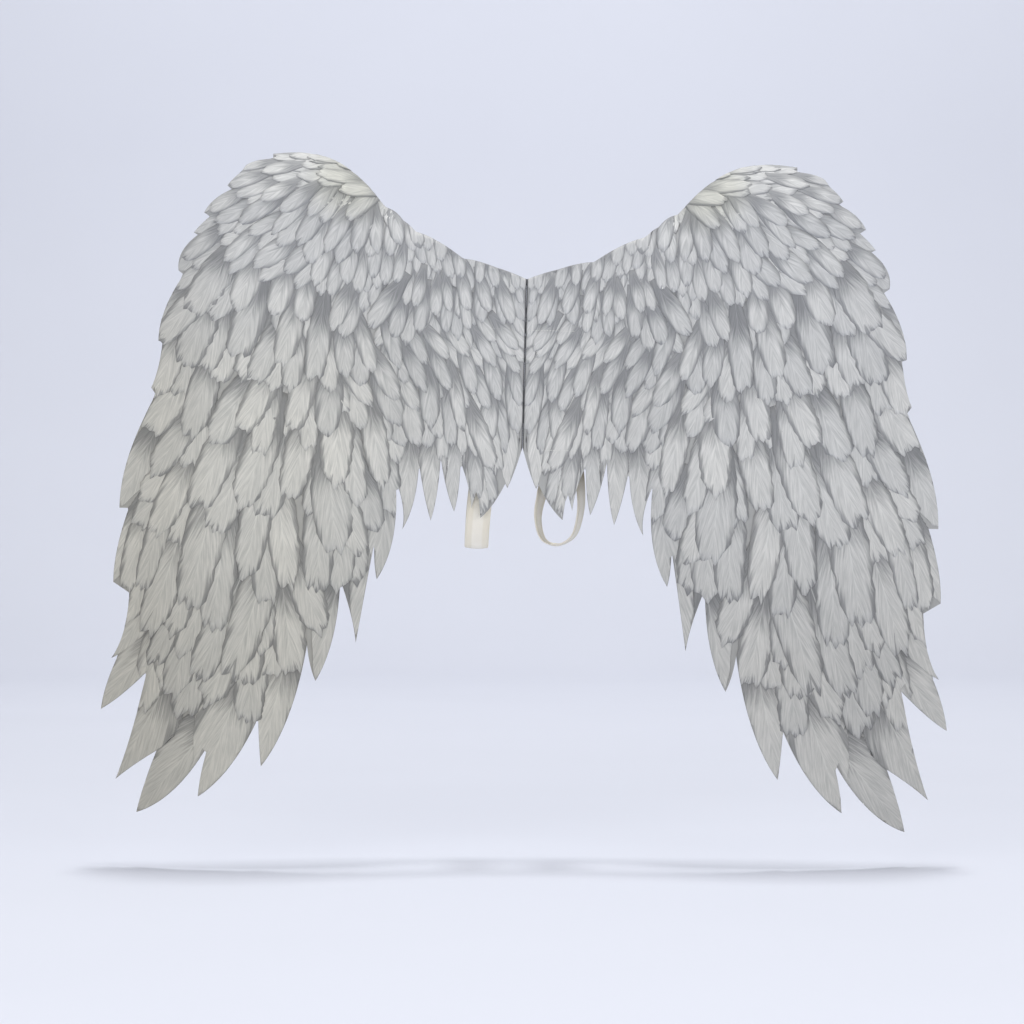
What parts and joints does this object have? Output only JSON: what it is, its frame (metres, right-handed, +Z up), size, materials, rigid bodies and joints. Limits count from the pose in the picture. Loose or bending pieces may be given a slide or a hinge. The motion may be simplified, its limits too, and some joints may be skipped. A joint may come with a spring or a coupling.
{
  "type": "costume angel wings",
  "caption": "Pair of formed felt feather-print costume wings seamed at the middle of the back, each with an elastic arm loop sewn behind it.",
  "frame": {"origin": "middle of the centre seam, at the rear of its turned-back edges, where it lies against the wearer's back", "axes": "+X to the wearer's right wing tip, +Y from the wings towards the wearer's back, +Z up; the printed face looks along -Y"},
  "size_m": [1.05, 0.1147, 0.818],
  "materials": {
    "printed_felt": "non-woven felt printed with pale grey overlapping feathers, matt",
    "woven_elastic": "cream flat woven elastic, matt"
  },
  "bodies": {
    "root": {"left_wing": "printed_felt", "right_wing": "printed_felt", "left_strap": "woven_elastic", "right_strap": "woven_elastic"}
  },
  "joints": []
}
